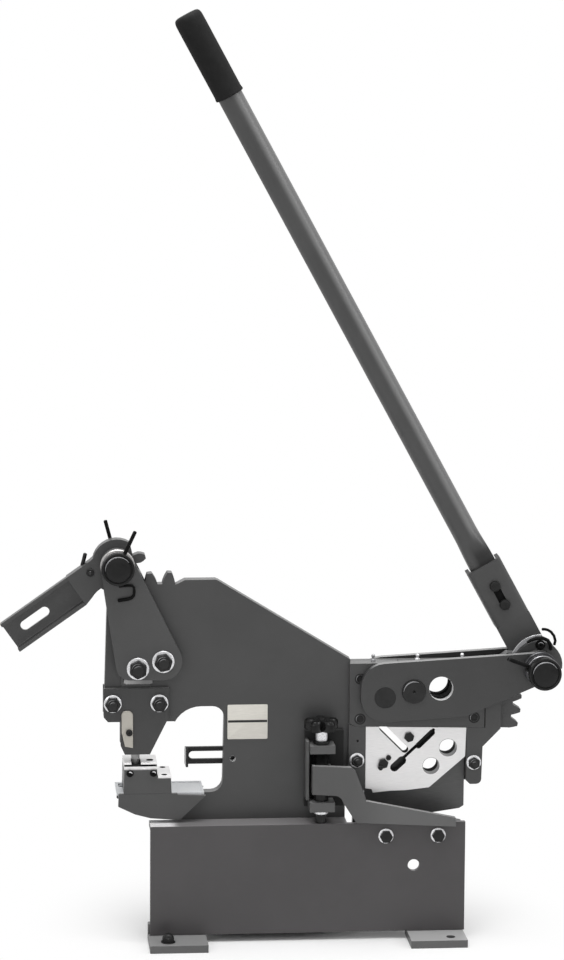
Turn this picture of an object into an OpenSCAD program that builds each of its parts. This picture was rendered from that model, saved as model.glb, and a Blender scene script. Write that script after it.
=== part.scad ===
// Manual punch and bar shear: a plate frame with a hand-geared punch on its left
// side and a hand-geared section and flat-bar shear on its right side.
// Millimetres. X runs to the right, Y away from the operator, Z up.
// The origin is on the floor, below the middle of the base.
// Both hand gears work alike: a toothed hub rolls along teeth cut round a pivot,
// and so a long swing of the handle turns the arms a little with great force.

/* [Frame] */
// Thickness of the main frame plate
frame_t = 20; // [16:1:22]
// Thickness of the plates bolted over the frame on each side
side_t = 8; // [6:0.5:8]
// Thickness of the swinging arms
arm_t = 12; // [10:1:14]

/* [Base] */
// Length of the base plate
base_len = 530; // [500:10:600]
// Height of the base plate's top edge above the floor
base_top = 200; // [200:1:200]
// Thickness of the base plate
base_t = 9; // [6:1:10]
// Thickness of the angle bars that form the feet
foot_t = 13; // [10:1:14]

/* [Shear gear] */
// Tooth module of the shear gear
shear_module = 7.5; // [7.5]
// Teeth on the full circle that the fixed shear teeth belong to
shear_teeth = 61; // [61]
// Teeth on the full circle of the lever's hub
lever_teeth = 10; // [10]

/* [Punch gear] */
// Tooth module of the punch gear
punch_module = 10.25; // [10.25]
// Teeth on the full circle that the fixed punch teeth belong to
punch_teeth = 27; // [27]
// Teeth on the full circle of the punch hub
punch_hub_teeth = 8; // [8]

/* [Hand lever] */
// Distance from the hub to the end of the grip
lever_reach = 1244; // [900:1:1300]
// Outer diameter of the lever tube
tube_d = 42.4; // [38:0.1:44]
// Length of the grip
grip_len = 153; // [120:1:180]
// Outer diameter of the grip
grip_d = 49; // [46:0.5:52]
// Lean of the hand lever from upright
lever_lean = 28.6; // [26:0.2:30]

/* [Punch and die] */
// Diameter of the punch
punch_d = 14.5; // [8:0.5:15]
// Gap between the stripper and the die for the sheet
sheet_gap = 3; // [2:0.5:3]

/* [Hidden] */
$fn = 48;

// Layers, measured from the middle plane of the frame
half_t = frame_t / 2;
side_y = half_t + side_t;
gap = 0.5;
arm_in = side_y + gap;
arm_out = arm_in + arm_t;

// Shear: pivot of the arms, hub of the lever
shear_pivot = [130, 409];
shear_r = shear_module * shear_teeth / 2;
lever_r = shear_module * lever_teeth / 2;
hub_angle = 10.2;
lever_hub_at = shear_pivot + (shear_r + lever_r) * [cos(hub_angle), sin(hub_angle)];
drive_at = [178.4, 419];
spare_at = [224.4, 423.7];
lever_angle = 90 + lever_lean;
web_front = half_t + 0.3;
web_t = 6;

// Punch: pivot of the cheeks, hub of the punch handle, link to the ram
punch_pivot = [-243, 476];
punch_r = punch_module * punch_teeth / 2;
punch_hub_r = punch_module * punch_hub_teeth / 2;
punch_hub_angle = 115.2;
punch_hub_at = punch_pivot
    + (punch_r + punch_hub_r) * [cos(punch_hub_angle), sin(punch_hub_angle)];
link_at = [-285, 464.6];
punch_socket_angle = 215.2;
ram_x = -287.5;
ram_w = 50;

// Teeth
pressure = 25;
addendum = 0.8;
dedendum = 1.1;
flank_play = 0.45;

// Dies
die_top = 297;
strip_bottom = die_top + sheet_gap;
strip_t = 3.5;
table_top = 251;

// Running fits
fit = 0.05;
pin_r = 18;
drive_r = 20;
hub_pin_r = 15;

// Points on a circle from angle a0 to a1
function arc(c, r, a0, a1, n = 8) =
    [for (i = [0 : n]) let (a = a0 + (a1 - a0) * i / n) c + r * [cos(a), sin(a)]];

function polar(c, r, a) = c + r * [cos(a), sin(a)];

// The involute of an angle, in degrees
function inv(a) = tan(a) * 180 / PI - a;

// Half of a tooth's angle at radius r, for a gear with z teeth and pitch radius rp
function half_tooth(z, rp, r) =
    let (rb = rp * cos(pressure), a = acos(min(1, rb / max(r, rb))))
    90 / z + inv(pressure) - inv(a) - flank_play / (2 * rp) * 180 / PI;

// One tooth centred on angle a, walked clockwise from root to root
function tooth(c, z, m, a, n = 4) =
    let (
        rp = z * m / 2,
        r0 = rp - dedendum * m,
        r1 = rp + addendum * m,
        rr = [for (i = [0 : n]) r0 + (r1 - r0) * i / n]
    )
    concat(
        [for (i = [0 : n]) polar(c, rr[i], a + half_tooth(z, rp, rr[i]))],
        [for (i = [n : -1 : 0]) polar(c, rr[i], a - half_tooth(z, rp, rr[i]))]
    );

// A row of teeth, clockwise from the first angle
function teeth(c, z, m, first, count) =
    [for (i = [0 : count - 1]) each tooth(c, z, m, first - i * 360 / z)];

// An upright plate: a shape in X and Z, from y0 to y1
module plate(y0, y1) {
    translate([0, y1, 0])
        rotate([90, 0, 0])
            linear_extrude(y1 - y0)
                children();
}

// A round bar along Y, centred on a point in X and Z
module rod_y(at, r, y0, y1) {
    translate([at[0], y1, at[1]])
        rotate([90, 0, 0])
            cylinder(r = r, h = y1 - y0);
}

module hole(at, r) {
    translate(at)
        circle(r = r);
}

// A round-ended slot in the X and Z plane
module slot2(a, b, r) {
    v = b - a;
    len = norm(v);
    translate(a)
        rotate(atan2(v[1], v[0])) {
            circle(r = r);
            translate([len, 0])
                circle(r = r);
            translate([0, -r])
                square([len, 2 * r]);
        }
}

// A hexagon head with its washer, facing the operator at depth y
module hex_head(at, y, af, head_h, washer_r, washer_t = 3) {
    rod_y(at, washer_r, y - washer_t, y);
    translate([at[0], y - washer_t, at[1]])
        rotate([90, 0, 0])
            cylinder(r = af / sqrt(3), h = head_h, $fn = 6);
}

// The same fastener's nut and washer at the back
module hex_nut(at, y, af, nut_h, washer_r, washer_t = 3) {
    rod_y(at, washer_r, y, y + washer_t);
    translate([at[0], y + washer_t + nut_h, at[1]])
        rotate([90, 0, 0])
            cylinder(r = af / sqrt(3), h = nut_h, $fn = 6);
}

module through_bolt(at, y0, y1, d, af, head_h, washer_r) {
    hex_head(at, y0, af, head_h, washer_r);
    hex_nut(at, y1, af, head_h, washer_r);
    rod_y(at, d / 2, y0 - 3, y1 + head_h + 8);
}

// A socket-head screw with its recess
module cap_screw(at, y, d, head_r, head_h, y_end) {
    difference() {
        rod_y(at, head_r, y - head_h, y);
        translate([at[0], y - head_h / 2, at[1]])
            rotate([90, 0, 0])
                cylinder(r = head_r * 0.55, h = head_h, $fn = 6);
    }
    rod_y(at, d / 2, y - head_h / 3, y_end);
}

// Fastener places
guide_bolts = [[-326.5, 402.5], [-248.5, 402.5]];
plate_screws = [[89.5, 439], [89.5, 370.3], [283, 439], [283, 370]];
strip_bolts = [[84.5, 299.9], [283, 293]];
base_bolts = [[130.6, 178], [218.8, 178]];
jaw_bolts = [[-240, 228], [-205, 226]];
rear_foot_bolts = [[-160, 31], [-66, 31], [28, 31]];

holder_screws = [-298, -258.7];

// Frame and base

// The frame's outline, counter-clockwise from the foot of its left leg
function frame_points() = concat(
    [[-202, 0], [66, 0], [66, 238], [75, 245], [99, 245], [99, 357], [155, 357],
     [155, 465], [73, 465], [73, 471], [-149.5, 607.6]],
    [[-154, 609.6], [-205.5, 609.6]],
    reverse_teeth(),
    [[-336, 560], [-341, 377], [-334, 369]],
    [[ram_x - ram_w / 2, 369], [ram_x - ram_w / 2, 506], [ram_x + ram_w / 2, 506],
     [ram_x + ram_w / 2, 369], [-223, 369]],
    arc([-178, 344], 50, 151, 90, 6),
    arc([-159, 374], 20, 90, 0, 5),
    arc([-161, 266.8], 20, 0, -90, 5),
    [[-262, 246.8], [-262, 203], [-202, 199]]
);

// The punch gear's teeth, in counter-clockwise order
function reverse_teeth() =
    let (t = teeth(punch_pivot, punch_teeth, punch_module, 125.3, 4))
    [for (i = [len(t) - 1 : -1 : 0]) t[i]];

module frame_plate() {
    color([0.31, 0.31, 0.32])
        plate(-half_t, half_t)
            difference() {
                polygon(frame_points());
                hole(punch_pivot, 10.1);
                hole(shear_pivot, pin_r + fit);
                hole([-124.3, 303.4], 5);
                for (p = guide_bolts)
                    hole(p, 8.3);
                for (p = [plate_screws[0], plate_screws[1], strip_bolts[0]])
                    hole(p, 6.3);
                for (p = jaw_bolts)
                    hole(p, 5.3);
                for (p = rear_foot_bolts)
                    hole(p, 6.3);
            }
}

// Base: an upright front plate with a flange that meets the frame
base_y0 = -51;
base_y1 = base_y0 + base_t;
base_bottom = foot_t + 0.5;

module base_plate() {
    color([0.29, 0.29, 0.30]) {
        plate(base_y0, base_y1)
            difference() {
                translate([-base_len / 2, base_bottom])
                    square([base_len, base_top - base_bottom]);
                for (p = base_bolts)
                    hole(p, 6.3);
                hole([178.2, 126.7], 10);
            }
        translate([-base_len / 2, base_y1, base_top - base_t])
            cube([base_len / 2 + 66, -half_t - base_y1, base_t]);
    }
}

// A foot: an angle bar with its upright leg behind the base plate
foot_front = -105;
foot_back = -26;
module foot(x0, x1, hole_x) {
    difference() {
        union() {
            translate([x0, foot_front, 0])
                cube([x1 - x0, foot_back - foot_front, foot_t]);
            translate([x0, base_y1, foot_t - 1])
                cube([x1 - x0, foot_back - base_y1, 31 - foot_t]);
        }
        translate([hole_x, -85, -1])
            cylinder(r = 7.5, h = foot_t + 2);
    }
}

module left_foot() {
    color([0.42, 0.42, 0.43])
        foot(-268, -171, -237);
}

module right_foot() {
    color([0.42, 0.42, 0.43])
        foot(168, 263, 237);
}

// The rear foot: a long angle bar on the back of the frame's leg
module rear_foot() {
    color([0.36, 0.36, 0.37])
        difference() {
            union() {
                translate([-252, half_t, 0])
                    cube([504, foot_t, 50]);
                translate([-252, half_t, 0])
                    cube([504, 95, foot_t]);
            }
            for (x = [-237, 237])
                translate([x, 85, -1])
                    cylinder(r = 7.5, h = foot_t + 2);
            for (p = rear_foot_bolts)
                rod_y(p, 6.3, half_t - 1, half_t + foot_t + 1);
        }
}

module base_screws() {
    color([0.75, 0.76, 0.78]) {
        for (p = base_bolts) {
            hex_head(p, base_y0, 19, 8, 12.5);
            rod_y(p, 6, base_y0 - 3, -6);
        }
        for (p = rear_foot_bolts)
            through_bolt(p, -half_t, half_t + foot_t, 12, 19, 8, 12);
        translate([-237, -85, 0])
            cylinder(r = 7.2, h = foot_t + 2);
        translate([-237, -85, foot_t])
            cylinder(r = 12, h = 2.5);
        translate([-237, -85, foot_t + 2.5])
            cylinder(r = 11 / cos(30), h = 8, $fn = 6);
        translate([-237, -85, foot_t + 7])
            difference() {
                sphere(r = 9.5);
                translate([0, 0, -10])
                    cube(20, center = true);
            }
    }
}

// Punch side

// The plate that keeps the ram in its slot, with the tongue that carries the stripper
module guide_outline() {
    difference() {
        polygon([[-341.5, 381.5], [-333, 373], [-313, 373], [-313, 330], [-306, 315], [-264, 315],
                 [-236, 371], [-232.5, 373], [-232.5, 428], [-341.5, 428]]);
        for (p = guide_bolts)
            hole(p, 8.3);
    }
}

module punch_guide_front() {
    color([0.31, 0.31, 0.32])
        difference() {
            plate(-side_y, -half_t)
                guide_outline();
            rod_y([-299, 354], 3.1, -side_y - 1, -half_t + 1);
        }
}

module punch_guide_rear() {
    color([0.31, 0.31, 0.32])
        plate(half_t, side_y)
            guide_outline();
}

module punch_guide_bolts() {
    color([0.75, 0.76, 0.78])
        for (p = guide_bolts)
            through_bolt(p, -side_y, side_y, 16, 23, 10, 14.7);
}

// The pale finger beside the punch, with its screw
module punch_finger() {
    color([0.72, 0.70, 0.64]) {
        plate(-side_y - 5, -side_y)
            difference() {
                polygon(concat(
                    [[-292.8, 327.5], [-292.8, 383]],
                    arc([-299.8, 383], 7, 0, 90, 4),
                    arc([-304.8, 383], 7, 90, 180, 4),
                    [[-311.5, 354], [-306, 330]]
                ));
                hole([-299, 354], 3.1);
            }
        rod_y([-299, 354], 5.5, -side_y - 8, -side_y - 5);
        rod_y([-299, 354], 3, -side_y - 6, -half_t - 1);
    }
}

// Stripper: a thin ground plate on a ridge at the back of the die, slotted at the
// front so that the punch shows
module stripper() {
    color([0.86, 0.86, 0.84])
        difference() {
            union() {
                translate([-308, -27, strip_bottom])
                    cube([55.5, 51, strip_t]);
                translate([-308, 16, die_top])
                    cube([55.5, 8, sheet_gap + 1]);
            }
            translate([ram_x, 0, die_top - 1])
                cylinder(r = punch_d / 2 + 0.6, h = 20);
            translate([ram_x - punch_d / 2 - 0.6, -28, die_top - 1])
                cube([punch_d + 1.2, 28, 20]);
            translate([-264, -9, die_top - 1])
                cylinder(r = 6, h = 20);
        }
}

// Die: a ground plate on a round button, with a shallow slot in its front edge
module die() {
    color([0.86, 0.86, 0.84])
        difference() {
            union() {
                translate([-307.5, -27, 291.5])
                    cube([55, 51, die_top - 291.5]);
                translate([ram_x, 0, table_top])
                    cylinder(r = 17, h = 41);
            }
            translate([ram_x, 0, table_top - 1])
                cylinder(r = punch_d / 2 + 0.4, h = 50);
            plate(-28, -26)
                slot2([-282, 294.2], [-268, 294.2], 0.9);
            translate([-264, -9, 290])
                cylinder(r = 6, h = 20);
        }
}

// Die holder: a block round the button, stepped down on its right
module die_holder() {
    color([0.27, 0.27, 0.28])
        difference() {
            plate(-30, 36)
                polygon([[-308.3, table_top], [-228.3, table_top], [-229.3, 276.6],
                         [-252.5, 276.6], [-252.5, 291.5], [-307.5, 291.5]]);
            translate([ram_x, 0, table_top - 1])
                cylinder(r = 17.1, h = 60);
            for (x = holder_screws)
                rod_y([x, 286], 2.6, -31, -19);
            translate([-264, -9, 284])
                cylinder(r = 6, h = 20);
            for (y = step_holes)
                translate([-240, y, 270])
                    cylinder(r = 2.6, h = 8);
        }
}

// A thin ground plate on the holder's step
step_holes = [-18, 29];
module step_plate() {
    color([0.86, 0.86, 0.84])
        difference() {
            translate([-251.2, -28, 276.6])
                cube([22.4, 64, 3.6]);
            for (y = step_holes)
                translate([-240, y, 276])
                    cylinder(r = 4.6, h = 6);
        }
}

// Die table: a ground slab with a shallow pocket, deeper at the back, and a saddle over the
// frame's lower jaw
module die_table() {
    color([0.82, 0.82, 0.81])
        difference() {
            union() {
                translate([-320, -24, 246.8])
                    cube([146.8, 70, table_top - 246.8]);
                plate(-24, 24)
                    polygon([[-315, 230], [-289, 217.5], [-263, 210.5], [-215, 207.5],
                             [-178, 243], [-178, 247], [-315, 247]]);
            }
            translate([-262.05, -half_t, 190])
                cube([100, frame_t, 56.8]);
            translate([ram_x, 0, 200])
                cylinder(r = 11, h = 60);
            translate([-223, -19.5, table_top - 1.2])
                cube([46, 61, 3]);
            translate([-315, 16, table_top - 3.2])
                cube([14, 22, 5]);
            for (p = jaw_bolts)
                rod_y(p, 5.3, -25, 25);
        }
}

// Cheeks: thin plates over both sides of the saddle
module jaw_outline() {
    polygon([[-317.7, 229.1], [-289.6, 215.6], [-263.6, 208.6], [-214.1, 204.6],
             [-170.7, 246.5], [-218, 248.6], [-219.5, 250.9], [-316.8, 250.9]]);
}

module jaw_cheek_front() {
    color([0.30, 0.30, 0.31])
        plate(-30, -24)
            jaw_outline();
}

module jaw_cheek_rear() {
    color([0.30, 0.30, 0.31])
        plate(24, 30)
            difference() {
                jaw_outline();
                translate([-330, 246.6])
                    square([170, 10]);
                for (p = jaw_bolts)
                    hole(p, 5.3);
            }
}

module jaw_screws() {
    color([0.10, 0.10, 0.11]) {
        for (x = holder_screws)
            cap_screw([x, 286], -30, 5, 4.2, 3, -20);
        for (y = step_holes)
            translate([-240, y, 271]) {
                cylinder(r = 2.4, h = 7);
                translate([0, 0, 5.7])
                    cylinder(r = 4.5, h = 2.5);
            }
        for (p = jaw_bolts) {
            rod_y(p, 5, -23.5, 30);
            rod_y(p, 8, 30, 36);
        }
    }
}

// The two bolts at the foot of the cheeks
module punch_pivot_bolt() {
    color([0.75, 0.76, 0.78])
        through_bolt(punch_pivot, -arm_out - gap, arm_out + gap, 20, 27, 12, 18.5);
}

function cheek_points() = concat(
    arc(punch_hub_at, 28, 25, 187, 10),
    arc([-297.5, 468.5], 24, 187, 262, 5),
    arc(punch_pivot, 32, 264, 385, 8)
);

module cheek_outline() {
    difference() {
        polygon(cheek_points());
        hole(punch_pivot, 10 + fit);
        hole(link_at, 10.1);
        hole(punch_hub_at, hub_pin_r + 0.1);
    }
}

module punch_cheek_front() {
    color([0.32, 0.32, 0.33])
        plate(-arm_out, -arm_in)
            cheek_outline();
}

// The bright ribbed strip along the foot of the front cheek
module link_strip() {
    color([0.80, 0.80, 0.79])
        plate(-arm_in, -12)
            difference() {
                polygon([[-308, 437.5], [-307, 443.5], [-260, 443.5], [-260, 437], [-264, 435.5],
                         [-304, 435.5]]);
                for (i = [0 : 7])
                    translate([-300.8 + i * 4.8, 435.2])
                        circle(r = 1.1, $fn = 4);
            }
}

module punch_cheek_rear() {
    color([0.32, 0.32, 0.33])
        plate(arm_in, arm_out)
            cheek_outline();
}

module link_bolt() {
    color([0.75, 0.76, 0.78])
        through_bolt(link_at, -arm_out, arm_out, 20, 27, 12, 18.5);
}

// A hub pin: its shaft, the pale boss and the black cap at the front, a collar behind
module hub_pin(at, reach) {
    rod_y(at, hub_pin_r, -reach + 4, arm_out + 18);
    rod_y(at, 27, -arm_out - 6, -arm_out);
    rod_y(at, 24, -reach + 14, -arm_out - 6);
    difference() {
        rod_y(at, 27.5, -reach, -reach + 14);
        rod_y(at, 22, -reach - 1, -reach + 3);
    }
    rod_y(at, 20.5, -reach - 2, -reach + 4);
    rod_y(at, 24, arm_out, arm_out + 14);
}

module punch_hub_pin() {
    color([0.13, 0.13, 0.14]) {
        hub_pin(punch_hub_at, 62);
        cotter(punch_hub_at, -48, 65, 26, 66);
        cotter(punch_hub_at, arm_out + 7, 105, 22, 62);
    }
}

// A straight wire that stands out of a hub pin at angle a
module cotter(at, y, a, r0, r1) {
    translate([at[0], y, at[1]])
        rotate([0, -a, 0])
            translate([r0 - 4, 0, 0])
                rotate([0, 90, 0])
                    cylinder(r = 2.8, h = r1 - r0 + 4);
}

// Handle hubs: a toothed plate with a plain disc on the handle's side
module hub_profile(at, z, m, first, count, disc_a0, disc_a1, disc_r) {
    polygon(concat(
        teeth(at, z, m, first, count),
        [polar(at, (z / 2 - dedendum) * m, disc_a1 + 7)],
        arc(at, disc_r, disc_a1, disc_a0, 14)
    ));
}

// The hub's gap that takes the fixed tooth nearest to the line between the centres
punch_first = 125.3;
punch_gap = punch_hub_angle + 180
    - (punch_first - 360 / punch_teeth - punch_hub_angle) * punch_teeth / punch_hub_teeth;
punch_socket_at = polar(punch_hub_at, 1.1, punch_socket_angle - 90);
module punch_hub() {
    color([0.33, 0.33, 0.34])
        difference() {
            union() {
                plate(-half_t + 0.3, half_t - 0.3)
                    hub_profile(punch_hub_at, punch_hub_teeth, punch_module,
                                punch_gap + 67.5, 4, 58, 215, 41);
                plate(-half_t, 12)
                    punch_neck();
                rod_y(punch_hub_at, 27, -side_y, side_y);
            }
            rod_y(punch_hub_at, hub_pin_r + fit, -40, 40);
        }
}

// The neck between the punch hub and its socket, stepped in on its lower side
module punch_neck() {
    translate(punch_hub_at)
        rotate(punch_socket_angle)
            polygon([[14, -35.5], [20, -32.6], [27, -30.4], [36, -29.6],
                     [81.95, -29.6], [81.95, 27.4], [66, 22.8], [60, 20.5], [53, 19], [38, 18.4], [20, 14]]);
}

// Cross-section of a channel: w wide, h deep, bent with an outer radius r.
// side = 1 opens towards the operator, side = -1 opens to the back.
function channel_points(w, h, t, r, side) =
    [for (p = concat(
        [[w / 2 - t, h], [w / 2, h]],
        arc([w / 2 - r, r], r, 0, -90, 4),
        arc([r - w / 2, r], r, -90, -180, 4),
        [[-w / 2, h], [t - w / 2, h]],
        arc([r - w / 2, r], r - t, -180, -90, 2),
        arc([w / 2 - r, r], r - t, -90, 0, 2)
    )) [-side * p[1], p[0]]];

// A socket: a channel along angle a from r0 to r1 with a bolt slot in its web
module socket(at, a, r0, r1, w, h, web_y, side, slot_a, slot_b, slot_r) {
    translate([at[0], 0, at[1]])
        rotate([0, -a, 0])
            difference() {
                translate([r0, web_y, 0])
                    rotate([90, 0, 90])
                        linear_extrude(r1 - r0)
                            polygon(channel_points(w, h, web_t, 8, side));
                plate(web_y - 8, web_y + 8)
                    slot2([slot_a, 0], [slot_b, 0], slot_r);
            }
}

module punch_socket() {
    color([0.33, 0.33, 0.34])
        socket(punch_socket_at, punch_socket_angle, 82, 217, 57, 22, 12, 1, 146, 185, 8.3);
}

// Ram and punch
module ram() {
    color([0.30, 0.30, 0.31])
        plate(-half_t + 0.3, half_t - 0.3)
            difference() {
                polygon([[ram_x - ram_w / 2 + 0.3, 338], [ram_x + 18, 338], [ram_x + 20, 345],
                         [ram_x + ram_w / 2 - 0.3, 360], [ram_x + ram_w / 2 - 0.3, 484],
                         [ram_x - ram_w / 2 + 0.3, 484]]);
                slot2(link_at - [1.6, 0], link_at + [0.4, 0], 10.5);
            }
}

module punch() {
    color([0.16, 0.16, 0.17])
        translate([ram_x, 0, 0]) {
            translate([0, 0, die_top - 3])
                cylinder(r = punch_d / 2, h = 30);
            translate([0, 0, 322])
                cylinder(r = 9.5, h = 16);
        }
}

// Shear side

module pivot_window() {
    slot2(drive_at - [0, 22], drive_at + [0, 4], drive_r + 1.5);
    slot2(spare_at - [0, 28], spare_at + [0, 2], drive_r + 1.5);
    translate([drive_at[0], 392])
        square([spare_at[0] - drive_at[0], 30]);
}

module pivot_plate_front() {
    color([0.32, 0.32, 0.33])
        plate(-side_y, -half_t)
            difference() {
                polygon([[80, 358], [300.5, 352.6], [300.5, 465.3], [71.5, 465.3], [71.5, 363]]);
                hole(shear_pivot, pin_r + fit);
                pivot_window();
                for (p = plate_screws)
                    hole(p, 6.3);
            }
}

module left_strip_front() {
    color([0.31, 0.31, 0.32])
        plate(-side_y, -half_t)
            difference() {
                polygon([[70.5, 247], [99, 247], [99, 357.3], [80, 357.7], [70.5, 362]]);
                hole(strip_bolts[0], 6.3);
                hole([85.7, 332.6], 2);
            }
}

// Outline of the right guide bar with its lobe and the slanted neck under the teeth
function right_guide_points(top_z) = concat(
    arc([288, 264], 8.5, 0, -90, 3),
    [[277, 255.5], [270.3, 262], [270.3, 353.1], [302, 352.3]],
    [[302, top_z], [329, top_z], [328, 350.5], [297.9, 319.7]]
);

module right_guide_front() {
    color([0.31, 0.31, 0.32])
        plate(-side_y, -half_t)
            difference() {
                polygon(right_guide_points(404));
                hole(strip_bolts[1], 6.3);
            }
}

// Segment with the fixed shear teeth; it is also the carrier's right guide
function segment_points() = concat(
    [[288, 255.5], [277, 255.5], [270.3, 262], [270.3, 465], [318, 465], [330, 472]],
    teeth(shear_pivot, shear_teeth, shear_module, 16.2, 6),
    [[343, 350], [328, 350.5], [297.9, 319.7], [296.5, 264]]
);

module gear_segment() {
    color([0.33, 0.33, 0.34])
        plate(-half_t, half_t)
            difference() {
                polygon(segment_points());
                for (p = [plate_screws[2], plate_screws[3], strip_bolts[1]])
                    hole(p, 6.3);
            }
}

// The rear housing plate closes the back of the shear
module housing_rear() {
    color([0.31, 0.31, 0.32])
        plate(half_t, side_y)
            difference() {
                polygon(concat(
                    [[70.5, 247], [110, 247], [122, 262], [258, 262], [270, 255.5]],
                    arc([288, 264], 8.5, -90, 0, 3),
                    [[297.9, 319.7], [328, 350.5], [329, 404], [300.5, 404], [300.5, 465.3],
                     [71.5, 465.3]]
                ));
                hole(shear_pivot, pin_r + fit);
                pivot_window();
                slot2([132, 350.8], [174, 308.8], 9);
                round_apertures(0.4);
                for (p = concat(plate_screws, strip_bolts))
                    hole(p, 6.3);
            }
}

module housing_screws() {
    color([0.12, 0.12, 0.13])
        for (p = plate_screws)
            cap_screw(p, -side_y, 12, 9.5, 0.4, side_y - 0.2);
    color([0.75, 0.76, 0.78])
        for (p = strip_bolts)
            through_bolt(p, -side_y, side_y, 12, 18, 7, 12.1);
}

// The apertures that pass through both blades: one slot and two round holes
module round_apertures(ease) {
    hole([239, 319.1], 14.6 + ease);
    hole([210.5, 288.2], 13.8 + ease);
}

module apertures(slot_end) {
    slot2([128, 354.8], [482.8 - slot_end, slot_end], 6);
    round_apertures(0);
}

// The slot for the other flange of an angle bar, with a pocket at each end
module angle_slot() {
    slot2([145.6, 286], [214, 350], 2.6);
    slot2([148.5, 286.5], [161, 298], 7.2);
    slot2([189, 323.5], [211.5, 345.5], 5.2);
}

blade_y0 = -side_y;
blade_y1 = -2;
carrier_y0 = blade_y1 + 0.3;
module section_blade() {
    color([0.84, 0.84, 0.83])
        plate(blade_y0, blade_y1)
            difference() {
                polygon([[97.4 + 2, 251], [110.1, 249.3], [112.1, 243.2], [140.9, 246.1],
                         [168.5, 246.7], [207.5, 251], [268.3, 303.5], [269.8, 352.9],
                         [99.4, 357]]);
                apertures(317.3);
                angle_slot();
                hole([129.2, 293.8], 5.2);
                hole([172.7, 338.6], 5.2);
            }
}

module blade_screws() {
    color([0.14, 0.14, 0.15]) {
        translate([172.7, blade_y0, 338.6])
            rotate([90, 0, 0])
                cylinder(r = 8.6, h = 5, $fn = 6);
        rod_y([172.7, 338.6], 5, blade_y0, blade_y1 - 2);
        translate([129.2, blade_y0, 293.8])
            rotate([90, 0, 0])
                cylinder(r = 8.6, h = 6, $fn = 6);
        rod_y([129.2, 293.8], 5, blade_y0, blade_y1 - 2);
        rod_y([138.3, 303.4], 4.2, blade_y0 - 3, blade_y0);
        rod_y([124, 287.4], 3.6, blade_y0 - 9, blade_y0 - 5);
    }
}

// Carrier: a tongue between the arms, moved by the drive pin, and the blade below it
carrier_foot = 373;
module blade_carrier() {
    color([0.30, 0.30, 0.31])
        plate(-half_t + 0.3, half_t - 0.3)
            difference() {
                polygon([[156.5, carrier_foot], [250, carrier_foot], [250, 452], [156.5, 452]]);
                slot2(drive_at - [0.8, 0], drive_at + [1.8, 0], drive_r + 0.3);
                hole(spare_at + [0.5, 0], drive_r + 0.3);
            }
}

// The moving blade: the same round apertures and the slanted edge for flat bar
module upper_blade() {
    color([0.30, 0.30, 0.31])
        plate(carrier_y0, half_t - 0.3)
            difference() {
                polygon([[111, 187.6], [262, 209.5], [269.5, 214.1], [269.7, 352], [250, 352],
                         [250, carrier_foot], [156.5, carrier_foot], [156.5, 352],
                         [99.6, 352], [99.6, 236], [82, 228], [80, 182]]);
                apertures(313.3);
            }
}

module shear_pivot_pin() {
    color([0.30, 0.30, 0.31]) {
        rod_y(shear_pivot, pin_r, -arm_out, arm_out);
        rod_y(shear_pivot, pin_r + 6, arm_out + gap, arm_out + 4);
        rod_y(shear_pivot, pin_r - 4, arm_out - 1, arm_out + 1);
    }
}

// Lower blade: it slopes down to the right, against the carrier's edge
module lower_blade() {
    color([0.45, 0.45, 0.46])
        plate(-side_y, -2)
            difference() {
                polygon([[108, 152], [262, 152], [264, 190.6], [108, 221]]);
                for (p = base_bolts)
                    hole(p, 6.2);
            }
}

module blade_block() {
    color([0.28, 0.28, 0.29])
        plate(base_y1, -side_y)
            difference() {
                polygon([[104, 152], [262, 152], [262, 188], [104, 199]]);
                for (p = base_bolts)
                    hole(p, 6.2);
            }
}

// The bar that closes the top of the shear housing, and its grease nipples
module top_bar() {
    color([0.31, 0.31, 0.32])
        plate(-half_t, half_t)
            translate([155.5, 454])
                square([114.5, 11]);
}

module oilers() {
    color([0.80, 0.78, 0.70])
        for (x = [113, 188, 264])
            translate([x, 0, 465]) {
                cylinder(r = 4.4, h = 6);
                translate([0, 0, 6])
                    cylinder(r1 = 3, r2 = 2, h = 4);
                translate([0, 0, 10])
                    sphere(r = 2.4);
            }
}

// Arms of the shear
arm_left = [131, 408.6];
arm_left_high = [131, 425.5];
function arm_points() = concat(
    arc(arm_left, 42, 274, 180, 7),
    arc(arm_left_high, 42, 180, 93.2, 7),
    arc(lever_hub_at, 26, 93.2, -66.6, 10),
    [[270, 376.4], [262, 374.8]]
);

module arm_outline(bore) {
    difference() {
        polygon(arm_points());
        hole(shear_pivot, pin_r + fit);
        hole(drive_at, drive_r + 0.1);
        hole(spare_at, drive_r + 0.1);
        hole(lever_hub_at, bore);
    }
}

module shear_arm_front() {
    color([0.33, 0.33, 0.34])
        plate(-arm_out, -arm_in)
            arm_outline(hub_pin_r + 0.1);
}

module shear_arm_rear() {
    color([0.33, 0.33, 0.34])
        plate(arm_in, arm_out)
            arm_outline(hub_pin_r + 0.1);
}

module drive_pin() {
    color([0.30, 0.30, 0.31])
        difference() {
            rod_y(drive_at, drive_r - 0.05, -arm_out - 3, arm_out + 3);
            translate([drive_at[0], -arm_out - 3.1, drive_at[1]])
                rotate([-90, 0, 0])
                    cylinder(r1 = 3, r2 = 0.5, h = 3);
        }
}

module lever_pin() {
    color([0.13, 0.13, 0.14]) {
        hub_pin(lever_hub_at, 78);
        cotter(lever_hub_at, -56, 155, 26, 66);
    }
}

lever_contact = hub_angle + 180;
module lever_hub() {
    color([0.33, 0.33, 0.34])
        difference() {
            union() {
                plate(-half_t + 0.3, half_t - 0.3)
                    hub_profile(lever_hub_at, lever_teeth, shear_module,
                                lever_contact + 126, 5, -8, 150, 41.5);
                rod_y(lever_hub_at, 27, -side_y, side_y);
            }
            rod_y(lever_hub_at, hub_pin_r + fit, -40, 40);
        }
}

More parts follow.
